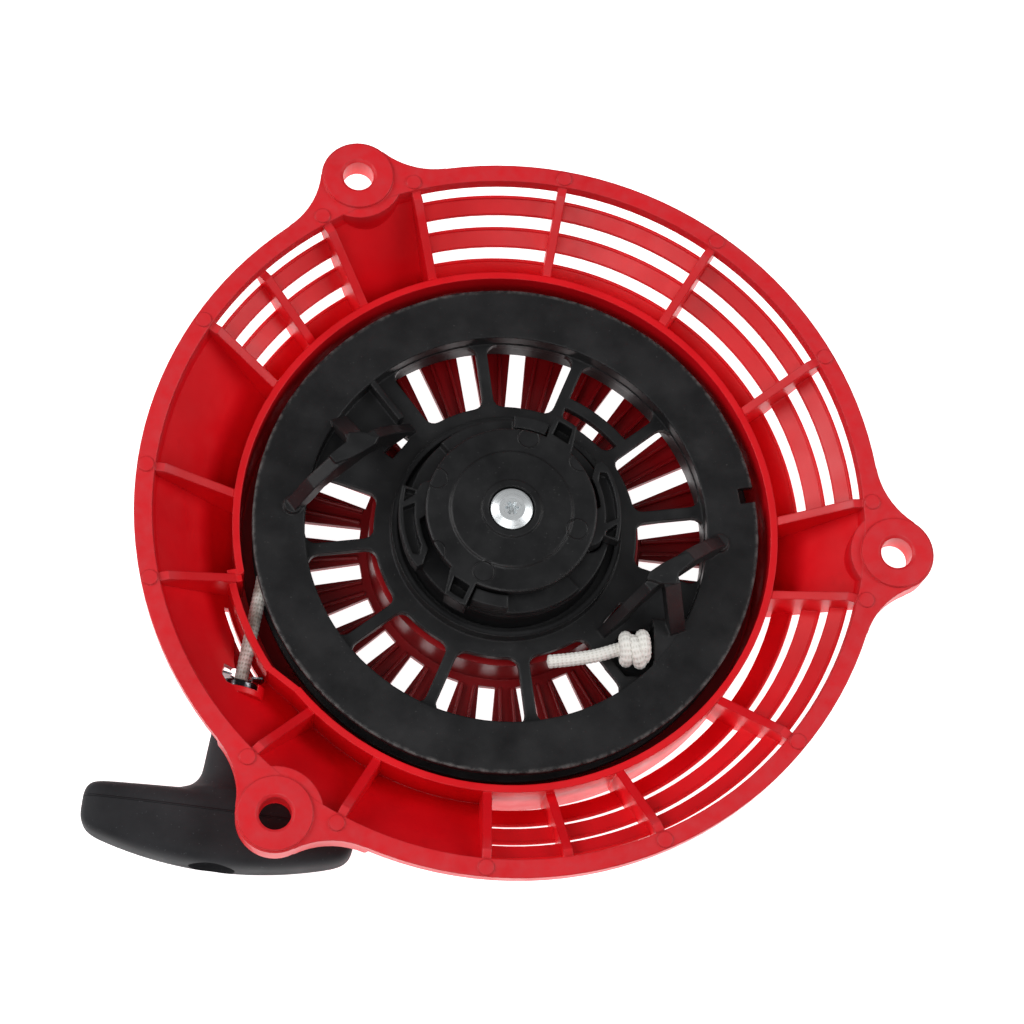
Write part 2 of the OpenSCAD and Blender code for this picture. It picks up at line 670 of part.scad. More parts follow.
module grip_knot() {
    color(rope_white) translate(eyelet_at) rotate([0, 0, grip_line_deg])
        translate([grip_pocket_at + 6.4, 0, 0]) scale([1, 1.08, 1.08]) sphere(4.4, $fn = 24);
}

case_body();  // case
rope_eyelet();
center_screw();
mainspring();
reel();
rope_winding();
rope_knot();
rope_tail();
ratchet_guide();
friction_spring();
ratchet();  // ratchet_a
rotate([0, 0, 180]) ratchet();  // ratchet_b
ratchet_spring();  // ratchet_spring_a
rotate([0, 0, 180]) ratchet_spring();  // ratchet_spring_b
rope_run();
grip();
grip_rope();
grip_washer();
grip_knot();
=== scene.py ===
# %% [markdown]
# # A recoil starter for a small engine
# The starter is a red bell-shaped case with a black rope reel inside it. A pull on the grip spins
# the reel, a disc in the middle drags two ratchets outward, and they turn the engine.
# The engineering model gives every part its place. This lesson makes each part look like the real
# thing: moulded plastic, zinc-plated steel and a braided rope.

# %% Load the frame
import math

import bmesh
import bpy
import numpy as np
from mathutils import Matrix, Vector


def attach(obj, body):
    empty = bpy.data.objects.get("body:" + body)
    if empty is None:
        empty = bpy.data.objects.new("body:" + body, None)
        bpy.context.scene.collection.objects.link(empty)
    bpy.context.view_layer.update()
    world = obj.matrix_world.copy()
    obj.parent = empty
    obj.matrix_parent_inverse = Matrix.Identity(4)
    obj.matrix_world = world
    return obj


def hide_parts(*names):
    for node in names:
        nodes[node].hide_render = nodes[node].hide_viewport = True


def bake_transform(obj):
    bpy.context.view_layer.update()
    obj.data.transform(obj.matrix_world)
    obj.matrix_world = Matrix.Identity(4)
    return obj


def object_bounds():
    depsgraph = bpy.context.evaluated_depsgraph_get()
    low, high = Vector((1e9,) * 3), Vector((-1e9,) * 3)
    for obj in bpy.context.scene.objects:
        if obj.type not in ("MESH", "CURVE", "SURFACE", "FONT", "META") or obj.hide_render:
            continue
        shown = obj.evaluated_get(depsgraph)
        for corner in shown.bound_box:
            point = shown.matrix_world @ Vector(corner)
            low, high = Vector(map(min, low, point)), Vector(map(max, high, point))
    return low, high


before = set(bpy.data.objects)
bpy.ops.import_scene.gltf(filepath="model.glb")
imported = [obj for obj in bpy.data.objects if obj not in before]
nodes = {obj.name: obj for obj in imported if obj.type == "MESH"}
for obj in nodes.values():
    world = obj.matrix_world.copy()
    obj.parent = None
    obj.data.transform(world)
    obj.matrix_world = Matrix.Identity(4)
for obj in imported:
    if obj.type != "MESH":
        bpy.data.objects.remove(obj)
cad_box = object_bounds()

MM = 0.001
scene = bpy.context.scene

# %% [markdown]
# ## Places that several pieces share
# Blender measures in metres, but a starter is easier to describe in millimetres. Places below are
# in millimetres and are multiplied by MM where a mesh is made. The rope lies in one level plane.
# It leaves the reel along one line, bends a little in the eyelet and goes on along the grip's
# line, so the eyelet and these two directions place every piece of rope and the grip.

# %% Shared places
UP = np.array((0, 0, 1.0))
EYELET = np.array((-65.0, -42.6, -20.0))
CASE_LINE = 260
GRIP_LINE = 263.5


def level_way(degrees):
    """A level direction, given as an angle from the X axis."""
    a = math.radians(degrees)
    return np.array((math.cos(a), math.sin(a), 0))


def side_of(way):
    """The level direction a quarter turn to the left of another."""
    return np.array((-way[1], way[0], 0))


def beside_line(origin, way, along, out, degrees):
    """A point given by a distance along a line, a distance out from it and an angle round it."""
    a = math.radians(degrees)
    return origin + along * way + out * (math.cos(a) * side_of(way) + math.sin(a) * UP)


case_way = level_way(CASE_LINE)
grip_way = level_way(GRIP_LINE)
grip_side = side_of(grip_way)
print("the rope bends", GRIP_LINE - CASE_LINE, "degrees in the eyelet")

# %% [markdown]
# ## Camera
# A part is easiest to read when the picture is taken with a long lens from a little to one side.
# The camera hangs over the starter, tipped about 19 degrees, and looks down into the case.

# %% Camera
CAMERA_PLACE = Vector((-0.0558877, -0.2040466, 0.5959227))
CAMERA_TIP = math.radians(18.6814)
CAMERA_LEAN = math.radians(-5.3389)
CAMERA_LENS = 91.406
SENSOR_WIDTH = 36

camera_data = bpy.data.cameras.new("bench_camera")
camera_data.sensor_width = SENSOR_WIDTH
camera_data.lens = CAMERA_LENS
camera_data.clip_start = 0.01
camera = bpy.data.objects.new("bench_camera", camera_data)
camera.location = CAMERA_PLACE
camera.rotation_euler = (CAMERA_TIP, CAMERA_LEAN, 0)
scene.collection.objects.link(camera)
scene.camera = camera
print("camera stands", round(CAMERA_PLACE.length, 3), "m from the starter")

# %% [markdown]
# ## Table
# The starter lies on its back on a pale table. It glows faintly, as a light table in a catalogue
# studio does, so the slots in the case read as bright openings. A stage object is shown in the
# picture but is not part of the model.

# %% Table
TABLE_REACH = 3.0
TABLE_GLOW = 0.95
TABLE_Z = cad_box[0][2] - 0.2 * MM


def add_piece(name, mesh):
    """Puts a new object with this mesh into the scene."""
    piece = bpy.data.objects.new(name, mesh)
    scene.collection.objects.link(piece)
    return piece


table_mesh = bpy.data.meshes.new("table_top")
corners = [(x * TABLE_REACH, y * TABLE_REACH, TABLE_Z) for x, y in ((-1, -1), (1, -1), (1, 1), (-1, 1))]
table_mesh.from_pydata(corners, [], [(0, 1, 2, 3)])
floor = add_piece("table_top", table_mesh)
print("table lies", round(-TABLE_Z / MM, 1), "mm under the flange")

# %% [markdown]
# ## Lamps
# Three large soft lamps stand to the sides, so none of them mirrors itself in the flat faces, and
# the plastic gets broad, gentle highlights. A weak white world fills the shadows.

# %% Lamps
WORLD_STRENGTH = 0.14


def soft_lamp(name, place, size, power):
    """A square area lamp that points at the middle of the starter."""
    data = bpy.data.lights.new(name, "AREA")
    data.shape = "SQUARE"
    data.size = size
    data.energy = power
    lamp = bpy.data.objects.new(name, data)
    lamp.location = place
    lamp.rotation_euler = (-Vector(place)).to_track_quat("-Z", "Y").to_euler()
    scene.collection.objects.link(lamp)


soft_lamp("lamp_right", (0.95, 0.05, 0.75), 0.8, 6.2)
soft_lamp("lamp_left", (-0.95, 0.25, 0.75), 0.8, 8.0)
soft_lamp("lamp_front", (-0.25, -0.62, 1.0), 0.7, 4.6)

world = bpy.data.worlds.new("studio")
scene.world = world
world.use_nodes = True
world.node_tree.nodes["Background"].inputs["Color"].default_value = (1, 1, 1, 1)
world.node_tree.nodes["Background"].inputs["Strength"].default_value = WORLD_STRENGTH
scene.view_settings.view_transform = "Standard"

# %% [markdown]
# ## Building materials from nodes
# Every finish is a small tree of nodes. The helpers below keep the trees short to write: one adds
# a node, one links it up, and one turns a noise into a value between two limits. All patterns read
# Object coordinates, so a pattern stays fixed to its part. Distances in a material are in metres.

# %% Material helpers


class Finish:
    """A material under construction, with its shader ready and helpers to feed it."""

    def __init__(self, name, color, roughness, **shader):
        self.material = bpy.data.materials.new(name)
        self.material.use_nodes = True
        self.tree = self.material.node_tree
        self.shader = self.tree.nodes["Principled BSDF"]
        self.shade(Base_Color=(*color, 1), Roughness=roughness, **shader)
        self.place = self.node("ShaderNodeTexCoord").outputs["Object"]

    def node(self, kind, links=(), **settings):
        made = self.tree.nodes.new(kind)
        for key, value in settings.items():
            setattr(made, key, value)
        for socket, source in dict(links).items():
            self.feed(made.inputs[socket], source)
        return made

    def feed(self, socket, source):
        """Links a socket to another node, or sets it when the source is a plain value."""
        if isinstance(source, bpy.types.NodeSocket):
            self.tree.links.new(source, socket)
        else:
            socket.default_value = source

    def shade(self, **sockets):
        """Feeds the shader's named sockets and returns the material."""
        for name, source in sockets.items():
            self.feed(self.shader.inputs[name.replace("_", " ")], source)
        return self.material

    def math(self, operation, a, b=0.0):
        return self.node("ShaderNodeMath", {0: a, 1: b}, operation=operation).outputs[0]

    def vector(self, operation, a, b):
        return self.node("ShaderNodeVectorMath", {0: a, 1: b}, operation=operation)

    def noise(self, scale, detail=4.0, rough=0.55, vector=None):
        made = self.node("ShaderNodeTexNoise", {"Vector": vector or self.place, "Scale": scale,
                                                "Detail": detail, "Roughness": rough})
        return made.outputs["Fac"]

    def ramp(self, value, low, high, out_low=0.0, out_high=1.0):
        """The value's way from low to high, clamped, as a way from out_low to out_high."""
        made = self.node("ShaderNodeMapRange", {"Value": value, "From Min": low, "From Max": high,
                                                "To Min": out_low, "To Max": out_high})
        return made.outputs["Result"]

    def mix(self, factor, a, b):
        made = self.node("ShaderNodeMix", data_type="RGBA")
        for socket, source in (("Factor", factor), ("A", a), ("B", b)):
            self.feed(made.inputs[socket], source)
        return made.outputs["Result"]

    def bump(self, height, strength, distance, normal=None):
        links = {"Height": height, "Strength": strength, "Distance": distance}
        if normal is not None:
            links["Normal"] = normal
        return self.node("ShaderNodeBump", links).outputs["Normal"]

    def round_edges(self, radius):
        return self.node("ShaderNodeBevel", {"Radius": radius}, samples=4).outputs["Normal"]

    def round_axis(self):
        """Distance from the starter's axis, the angle round it in radians, and the height."""
        split = self.node("ShaderNodeSeparateXYZ", {0: self.place})
        x, y, z = (split.outputs[axis] for axis in "XYZ")
        squares = self.math("ADD", self.math("MULTIPLY", x, x), self.math("MULTIPLY", y, y))
        return self.math("SQRT", squares), self.math("ARCTAN2", y, x), z


def rgba(r, g, b):
    return (r, g, b, 1.0)


print("finish helpers ready")

# %% [markdown]
# ## Red moulded plastic
# The case is injection-moulded in a bright red nylon. Such plastic is even in colour, but fine
# flow streaks and a slightly wavy skin break up its highlights. A bevel on the shading normals
# rounds the edges as the mould does. Deep inside the cup and the spring housing the red is painted
# darker as shade, and the top of the flange face, where it meets the engine, is painted paler in
# patches, partly as rubbing wear and partly as a painted sheen.

# %% Red plastic
CUP_WALL_R = 66.4 * MM
HOUSING_R = 46 * MM


def red_plastic():
    f = Finish("red_moulded_plastic", (0.75, 0.004, 0.010), 0.38, Specular_IOR_Level=0.42)
    stretched = f.node("ShaderNodeMapping", {"Vector": f.place, "Scale": (1.0, 1.0, 0.35)})
    flow = f.noise(42.0, 3.0, 0.5, stretched.outputs["Vector"])
    grime = f.ramp(f.noise(95.0, 5.0, 0.6), 0.60, 0.78)
    radius, _, height = f.round_axis()
    # painted shade: the next lines make the red darker deep in the cup and inside the spring housing
    within_cup = f.ramp(radius, CUP_WALL_R, CUP_WALL_R - 0.8 * MM)
    deep_shade = f.math("MULTIPLY", f.ramp(height, -15 * MM, -35 * MM), within_cup)
    deep_shade = f.math("MAXIMUM", deep_shade, f.ramp(radius, HOUSING_R, HOUSING_R - 6 * MM))
    # painted sheen and rubbing wear: the top of the flange face is made paler in patches
    rubbed_and_sheen = f.ramp(f.noise(300.0, 4.0, 0.6), 0.35, 0.70, 0.25, 0.70)
    rubbed_and_sheen = f.math("MULTIPLY", rubbed_and_sheen, f.ramp(height, -4.0 * MM, -1.5 * MM))
    color = f.mix(f.ramp(flow, 0.3, 0.7), rgba(0.68, 0.003, 0.008), rgba(0.82, 0.005, 0.012))
    color = f.mix(f.math("MULTIPLY", grime, 0.25), color, rgba(0.40, 0.002, 0.005))
    # the painted shade goes in as a darker red
    color = f.mix(f.math("MULTIPLY", deep_shade, 0.85), color, rgba(0.20, 0.001, 0.003))
    color = f.mix(rubbed_and_sheen, color, rgba(0.66, 0.045, 0.055))
    skin = f.bump(f.noise(900.0, 3.0), 0.10, 0.2 * MM, f.round_edges(0.5 * MM))
    return f.shade(Base_Color=color, Roughness=f.ramp(f.noise(160.0, 4.0), 0.25, 0.75, 0.30, 0.46),
                   Normal=f.bump(flow, 0.30, 0.8 * MM, skin))


red = red_plastic()
print("made", red.name)

# %% [markdown]
# ## Black moulded plastic
# The reel, the ratchets and the guide are glass-filled nylon, which looks dark grey in strong
# light. The rope has rubbed the reel, so its rim has a broken chalky line along the edge and the
# face has faint scuffs. The guide shows thin rings where the pins of the mould pushed it out.

# %% Marks on the black plastic
REEL_R = 63.0 * MM
REEL_FACE_Z = -14.8 * MM
GUIDE_TOP_Z = -2.9 * MM
PIN_R = 2.6 * MM
PIN_MARKS = ((4.25, 18.7), (16.1, -4.7), (-6.8, -16.1), (17.0, 13.0), (-18.3, 7.4), (-18.7, -11.3))


def rope_scuffs(f, color, radius, height):
    """The colour with a worn line along the reel's edge and faint scuffs on its face."""
    near_edge = f.ramp(radius, REEL_R - 0.9 * MM, REEL_R)
    broken = f.ramp(f.noise(420.0, 4.0, 0.7), 0.42, 0.62)
    on_face = f.ramp(height, REEL_FACE_Z - 0.7 * MM, REEL_FACE_Z)
    edge = f.math("MULTIPLY", f.math("MULTIPLY", near_edge, broken), on_face)
    color = f.mix(f.math("MULTIPLY", edge, 0.35), color, rgba(0.30, 0.29, 0.28))
    patch = f.ramp(f.noise(38.0, 4.0, 0.65), 0.60, 0.74)
    return f.mix(f.math("MULTIPLY", patch, 0.14), color, rgba(0.085, 0.085, 0.086))


def pin_rings(f, height):
    """A height that is 1 on a thin ring round each pin mark on the guide's top."""
    flat = f.vector("MULTIPLY", f.place, (1, 1, 0)).outputs[0]
    marks = 0.0
    for x, y in PIN_MARKS:
        away = f.vector("DISTANCE", flat, (x * MM, y * MM, 0)).outputs["Value"]
        off = f.math("ABSOLUTE", f.math("SUBTRACT", away, PIN_R))
        marks = f.math("MAXIMUM", marks, f.ramp(off, 0.28 * MM, 0.06 * MM))
    return f.math("MULTIPLY", marks, f.ramp(height, GUIDE_TOP_Z - 0.6 * MM, GUIDE_TOP_Z))


print("pin marks:", len(PIN_MARKS))

# %% Black plastic
DARK_GREY = np.array((0.0085, 0.0087, 0.0095))
MID_GREY = np.array((0.0145, 0.0148, 0.0160))


def black_plastic(name, lift, on_reel):
    """Black nylon, made lighter or darker by lift, with the marks of the reel or of the guide."""
    f = Finish(name, (0.02, 0.02, 0.022), 0.5, Specular_IOR_Level=0.45)
    radius, _, height = f.round_axis()
    cloud = f.noise(60.0, 5.0, 0.6)
    dust = f.ramp(f.noise(1500.0, 2.0, 0.5), 0.70, 0.76)
    color = f.mix(f.ramp(cloud, 0.35, 0.7), rgba(*DARK_GREY * lift), rgba(*MID_GREY * lift))
    color = f.mix(f.math("MULTIPLY", dust, 0.2), color, rgba(0.16, 0.16, 0.16))
    fine = f.bump(f.noise(2200.0, 3.0), 0.16, 0.12 * MM, f.round_edges(0.7 * MM))
    skin = f.bump(cloud, 0.10, 0.6 * MM, fine)
    if on_reel:
        color = rope_scuffs(f, color, radius, height)
    else:
        skin = f.bump(pin_rings(f, height), 0.8, 0.3 * MM, skin)
    return f.shade(Base_Color=color, Roughness=f.ramp(f.noise(120.0, 5.0), 0.3, 0.7, 0.30, 0.48),
                   Normal=skin)


reel_black = black_plastic("black_reel_plastic", 0.95, True)
ratchet_black = black_plastic("black_ratchet_plastic", 0.8, False)
print("made", reel_black.name, "and", ratchet_black.name)

# %% [markdown]
# ## Metals
# The centre screw and the grip's washer are zinc plated, bright with a faint turned grain that
# circles the axis. The springs are oiled strip and wire, much darker. The rope eyelet is
# blackened steel that the rope has worn bright in places.

# %% Metals


def zinc_plate():
    f = Finish("bright_zinc", (0.78, 0.79, 0.80), 0.24, Metallic=0.62)
    radius, angle, _ = f.round_axis()
    turned = f.node("ShaderNodeCombineXYZ", {0: f.math("MULTIPLY", radius, 9000.0), 1: angle, 2: 0.0})
    grain = f.noise(1.0, 3.0, 0.6, turned.outputs[0])
    color = f.mix(f.noise(900.0, 3.0), rgba(0.80, 0.84, 0.86), rgba(0.92, 0.95, 0.96))
    return f.shade(Base_Color=color, Roughness=f.ramp(grain, 0.3, 0.7, 0.22, 0.42),
                   Normal=f.bump(grain, 0.12, 0.05 * MM, f.round_edges(0.12 * MM)))


def spring_steel():
    f = Finish("oiled_spring_steel", (0.22, 0.22, 0.24), 0.35, Metallic=1.0)
    stain = f.noise(260.0, 5.0, 0.65)
    color = f.mix(f.ramp(stain, 0.35, 0.7), rgba(0.13, 0.12, 0.12), rgba(0.32, 0.32, 0.34))
    return f.shade(Base_Color=color, Roughness=f.ramp(stain, 0.3, 0.7, 0.25, 0.5),
                   Normal=f.bump(f.noise(1800.0, 3.0), 0.1, 0.05 * MM))


def blackened_steel():
    f = Finish("blackened_eyelet_steel", (0.05, 0.05, 0.055), 0.22, Metallic=0.8)
    wear = f.ramp(f.noise(520.0, 4.0, 0.6), 0.55, 0.7)
    color = f.mix(wear, rgba(0.03, 0.03, 0.034), rgba(0.38, 0.38, 0.40))
    return f.shade(Base_Color=color, Roughness=f.ramp(wear, 0.0, 1.0, 0.18, 0.38),
                   Normal=f.round_edges(0.3 * MM))


zinc = zinc_plate()
dark_steel = blackened_steel()
oiled = spring_steel()
print("made", zinc.name, dark_steel.name, "and", oiled.name)

# %% [markdown]
# ## Braided rope fibre
# The rope is a braid of off-white nylon yarns. Its weave is real geometry, made further on. The
# finish adds the fine fibre, a soft sheen, painted shade in the gaps and the grey dirt that the reel
# leaves on it. It reads the rope's own UV map: U runs along the rope in millimetres and V runs round
# it. The height of the weave is stored on the mesh too, so the gaps between the yarns are painted
# darker as shade, and browner with dirt on the used rope.

# %% Rope finish
# Colours painted as shade into the gaps of the weave, on a clean and on a soiled rope.
CLEAN_GAP_SHADE = np.array((0.68, 0.66, 0.60))
DIRTY_GAP_SHADE = np.array((0.42, 0.37, 0.30))


def rope_fibre(name, dirt):
    """Rope fibre, from new at dirt 0 to well used at dirt 1."""
    f = Finish(name, (0.80, 0.78, 0.72), 0.82, Sheen_Weight=0.35, Sheen_Roughness=0.5)
    uv = f.node("ShaderNodeUVMap", uv_map="along_rope").outputs["UV"]
    yarn = f.node("ShaderNodeMapping", {"Vector": uv, "Scale": (5.0, 40.0, 1.0)}).outputs["Vector"]
    fibre = f.noise(1.0, 4.0, 0.6, yarn)
    weave = f.node("ShaderNodeAttribute", attribute_name="weave").outputs["Fac"]
    soil = f.ramp(f.noise(230.0, 4.0, 0.6), 0.62 - 0.3 * dirt, 0.80 - 0.2 * dirt)
    speck = f.ramp(f.noise(1300.0, 2.0, 0.5), 0.68, 0.74)
    # painted shade: the gaps between the yarns are made darker, and browner with dirt on a used rope
    gap_shade_and_dirt = rgba(*CLEAN_GAP_SHADE + dirt * (DIRTY_GAP_SHADE - CLEAN_GAP_SHADE))
    color = f.mix(fibre, rgba(0.84, 0.82, 0.76), rgba(0.98, 0.97, 0.93))
    color = f.mix(f.ramp(weave, 0.0, 0.45), gap_shade_and_dirt, color)
    color = f.mix(f.math("MULTIPLY", soil, 0.35 + 0.5 * dirt), color, rgba(0.22, 0.17, 0.13))
    color = f.mix(f.math("MULTIPLY", speck, 0.5), color, rgba(0.10, 0.09, 0.08))
    return f.shade(Base_Color=color, Normal=f.bump(fibre, 0.35, 0.1 * MM))


clean_rope = rope_fibre("rope_clean_braid", 0.0)
dirty_rope = rope_fibre("rope_soiled_braid", 1.0)
print("made", clean_rope.name, "and", dirty_rope.name)

# %% [markdown]
# ## Grip rubber and table paint
# The grip is a soft black thermoplastic with a satin skin and a raised line where the two halves
# of its mould met. The line lies in a plane across the grip's own line, so a dot product finds
# it. The table is painted board.

# %% Grip and table finishes
SEAM_FROM_EYELET = 31.6
SEAM_AT = (EYELET.dot(grip_way) + SEAM_FROM_EYELET) * MM


def grip_rubber():
    f = Finish("black_grip_rubber", (0.025, 0.025, 0.027), 0.58, Specular_IOR_Level=0.10)
    cloud = f.noise(70.0, 4.0, 0.6)
    dust = f.ramp(f.noise(1500.0, 2.0, 0.5), 0.69, 0.75)
    color = f.mix(f.ramp(cloud, 0.3, 0.7), rgba(0.020, 0.020, 0.022), rgba(0.034, 0.034, 0.037))
    color = f.mix(f.math("MULTIPLY", dust, 0.3), color, rgba(0.12, 0.12, 0.13))
    along = f.vector("DOT_PRODUCT", f.place, tuple(grip_way)).outputs["Value"]
    off_seam = f.math("ABSOLUTE", f.math("SUBTRACT", along, SEAM_AT))
    seam = f.ramp(off_seam, 0.30 * MM, 0.08 * MM)
    skin = f.bump(f.noise(2600.0, 3.0), 0.14, 0.1 * MM)
    return f.shade(Base_Color=color, Roughness=f.ramp(f.noise(140.0, 4.0), 0.3, 0.7, 0.52, 0.68),
                   Normal=f.bump(seam, 0.9, 0.4 * MM, skin))


def table_paint():
    f = Finish("pale_table_paint", (0.90, 0.90, 0.90), 0.8)
    color = f.mix(f.noise(8.0), rgba(0.89, 0.89, 0.89), rgba(0.92, 0.92, 0.92))
    return f.shade(Base_Color=color, Emission_Color=rgba(1, 1, 1), Emission_Strength=TABLE_GLOW)


grip_black = grip_rubber()
floor.data.materials.append(table_paint())
print("made", grip_black.name, "and", floor.data.materials[0].name)

# %% [markdown]
# ## Parts that keep their engineered mesh
# The case, reel, guide, ratchets, springs, screw and eyelet already have the right shape, so they
# only need a finish. Their meshes are never touched: the finish goes into the material slots.

# %% Finish the engineered parts
for name, material, slot in (
        ("case", red, "red_plastic"), ("rope_eyelet", dark_steel, "zinc"),
        ("center_screw", zinc, "zinc"), ("mainspring", oiled, "spring_steel"),
        ("reel", reel_black, "black_plastic"),
        ("ratchet_guide", ratchet_black, "black_plastic"), ("friction_spring", oiled, "spring_steel"),
        ("ratchet_a", ratchet_black, "black_plastic"), ("ratchet_b", ratchet_black, "black_plastic"),
        ("ratchet_spring_a", oiled, "spring_steel"), ("ratchet_spring_b", oiled, "spring_steel"),
        ("grip_washer", zinc, "zinc")):
    part = nodes[name]
    part.data.materials.clear()
    part.data.materials.append(material)
    print(name, "gets", material.name)

# %% [markdown]
# ## Beads and fins on the case
# The real mould leaves fine detail on the case. Twin fins stiffen the floor between its slots, and
# every louvre bar has a rounded bead along its outer edge. Both follow simple lines, so one
# geometry tree sweeps a rounded profile along whatever edges it is given.

# %% Sweep tree
CORNER_STEPS = 4


def sweep_tree(name, width, height, corner, material):
    """A geometry tree that sweeps a rounded bar along the edges of the mesh it is put on."""
    tree = bpy.data.node_groups.new(name, "GeometryNodeTree")
    tree.interface.new_socket("Geometry", in_out="INPUT", socket_type="NodeSocketGeometry")
    sizes = {}
    for label, value in (("Width", width), ("Height", height), ("Corner", corner)):
        socket = tree.interface.new_socket(label, in_out="INPUT", socket_type="NodeSocketFloat")
        socket.default_value = value
        sizes[socket.identifier] = value
    tree.interface.new_socket("Geometry", in_out="OUTPUT", socket_type="NodeSocketGeometry")
    start, end, path, profile, rounded, sweep, realize, paint = (tree.nodes.new(kind) for kind in (
        "NodeGroupInput", "NodeGroupOutput", "GeometryNodeMeshToCurve",
        "GeometryNodeCurvePrimitiveQuadrilateral", "GeometryNodeFilletCurve",
        "GeometryNodeCurveToMesh", "GeometryNodeRealizeInstances", "GeometryNodeSetMaterial"))
    rounded.mode = "POLY"
    rounded.inputs["Count"].default_value = CORNER_STEPS
    sweep.inputs["Fill Caps"].default_value = True
    paint.inputs["Material"].default_value = material
    for source, target in (
            (start.outputs["Geometry"], path.inputs["Mesh"]),
            (start.outputs["Width"], profile.inputs["Width"]),
            (start.outputs["Height"], profile.inputs["Height"]),
            (profile.outputs[0], rounded.inputs["Curve"]),
            (start.outputs["Corner"], rounded.inputs["Radius"]),
            (path.outputs["Curve"], sweep.inputs["Curve"]),
            (rounded.outputs["Curve"], sweep.inputs["Profile Curve"]),
            (sweep.outputs["Mesh"], realize.inputs[0]),
            (realize.outputs[0], paint.inputs["Geometry"]),
            (paint.outputs[0], end.inputs["Geometry"])):
        tree.links.new(source, target)
    return tree, sizes


print("a swept corner has", CORNER_STEPS, "steps")

# %% [markdown]
# ## From a tree to a plain mesh
# The tree is put on a mesh of bare edges as a modifier. Its inputs are set by identifier before it
# is first evaluated. Then the result becomes the object's own mesh and the modifier goes, so the
# finished piece is plain geometry.

# %% Swept pieces


def bake_modifiers(piece):
    """Replaces the piece's mesh with the result of its modifiers."""
    graph = bpy.context.evaluated_depsgraph_get()
    piece.data = bpy.data.meshes.new_from_object(piece.evaluated_get(graph))
    piece.modifiers.clear()


def face_outwards(bm):
    """Turns every face outwards and shades it smooth."""
    bmesh.ops.recalc_face_normals(bm, faces=bm.faces)
    for face in bm.faces:
        face.smooth = True


def swept_piece(name, lines, width, height, corner, material):
    """Sweeps a rounded bar along each list of points. All sizes are in millimetres."""
    verts, edges = [], []
    for line in lines:
        first = len(verts)
        verts += [tuple(np.array(p) * MM) for p in line]
        edges += [(first + k, first + k + 1) for k in range(len(line) - 1)]
    mesh = bpy.data.meshes.new(name)
    mesh.from_pydata(verts, edges, [])
    piece = add_piece(name, mesh)
    tree, sizes = sweep_tree(name + "_tree", width * MM, height * MM, corner * MM, material)
    sweeper = piece.modifiers.new("sweep", "NODES")
    sweeper.node_group = tree
    for identifier, value in sizes.items():
        sweeper[identifier] = value
    bake_modifiers(piece)
    bm = bmesh.new()
    bm.from_mesh(piece.data)
    face_outwards(bm)
    bm.to_mesh(piece.data)
    bm.free()
    piece.data.set_sharp_from_angle(angle=math.radians(50))
    print(name, "has", len(piece.data.polygons), "faces")
    return piece


def ring_point(r, degrees, z):
    """A point at a radius and an angle round the starter's axis."""
    a = math.radians(degrees)
    return (r * math.cos(a), r * math.sin(a), z)


# %% Floor fins
FLOOR_TOP = -36.6
FLOOR_BARS = 24
FIRST_BAR = 17.5
FIN_LEAN = 2.3
FIN_RADII = (36.5, 47, 60)

fin_lines = []
for bar in range(FLOOR_BARS):
    for lean in (-FIN_LEAN, FIN_LEAN):
        angle = FIRST_BAR + 360 / FLOOR_BARS * bar + lean
        fin_lines.append([ring_point(r, angle, FLOOR_TOP + 0.5) for r in FIN_RADII])
floor_fins = swept_piece("floor_fins", fin_lines, 0.9, 1.9, 0.35, red)
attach(floor_fins, "case")

# %% Louvre beads
LOUVRES = ((3, 103.4), (122.5, 26), (266, 80))
BEADS = ((85.6, -6.55), (80.35, -14.25), (74.6, -21.15))
BEAD_STEP = 1.5

bead_lines = []
for start, sweep in LOUVRES:
    for r, z in BEADS:
        steps = int(sweep / BEAD_STEP)
        bead_lines.append([ring_point(r, start + sweep * k / steps, z) for k in range(steps + 1)])
louvre_beads = swept_piece("louvre_beads", bead_lines, 0.9, 0.9, 0.42, red)
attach(louvre_beads, "case")

# %% [markdown]
# ## A smooth path
# A rope follows a few points that are easy to place. A Catmull-Rom curve goes through all
# of them, and points a fixed step apart on it keep the weave the same size everywhere.

# %% Smooth path
CURVE_STEPS = 24


def distances(points):
    """How far along the path each of its points lies."""
    return np.concatenate([[0], np.cumsum(np.linalg.norm(np.diff(points, axis=0), axis=1))])


def smooth_path(points, step):
    """Points a fixed step apart on a Catmull-Rom curve through the given points."""
    p = np.array(points, float)
    p = np.vstack([2 * p[0] - p[1], p, 2 * p[-1] - p[-2]])
    curve = []
    for i in range(1, len(p) - 2):
        for t in np.linspace(0, 1, CURVE_STEPS, endpoint=False):
            curve.append(0.5 * (2 * p[i] + (p[i + 1] - p[i - 1]) * t
                                + (2 * p[i - 1] - 5 * p[i] + 4 * p[i + 1] - p[i + 2]) * t * t
                                + (3 * p[i] - 3 * p[i + 1] + p[i + 2] - p[i - 1]) * t ** 3))
    curve.append(p[-2])
    curve = np.array(curve)
    gone = distances(curve)
    at = np.linspace(0, gone[-1], max(2, int(round(gone[-1] / step))) + 1)
    return np.stack([np.interp(at, gone, curve[:, k]) for k in range(3)], 1)


corner = smooth_path(((0, 0, 0), (10, 0, 0), (10, 10, 0)), 1.0)
print("a corner of two 10 mm legs is", round(distances(corner)[-1], 2), "mm long when smoothed")

# %% [markdown]
# ## A braided rope as geometry
# A braid is two sets of yarns that wind round the rope in opposite directions and pass over and
# under each other. A tube whose radius swells wherever a yarn lies on top gives the same relief
# without modelling each yarn. A frame carried along the path keeps the tube from twisting.

# %% Braid relief
ROPE_R = 1.75 * MM
YARNS = 12
BRAID_PITCH = 4.4 * MM
BRAID_DEPTH = 0.30 * MM


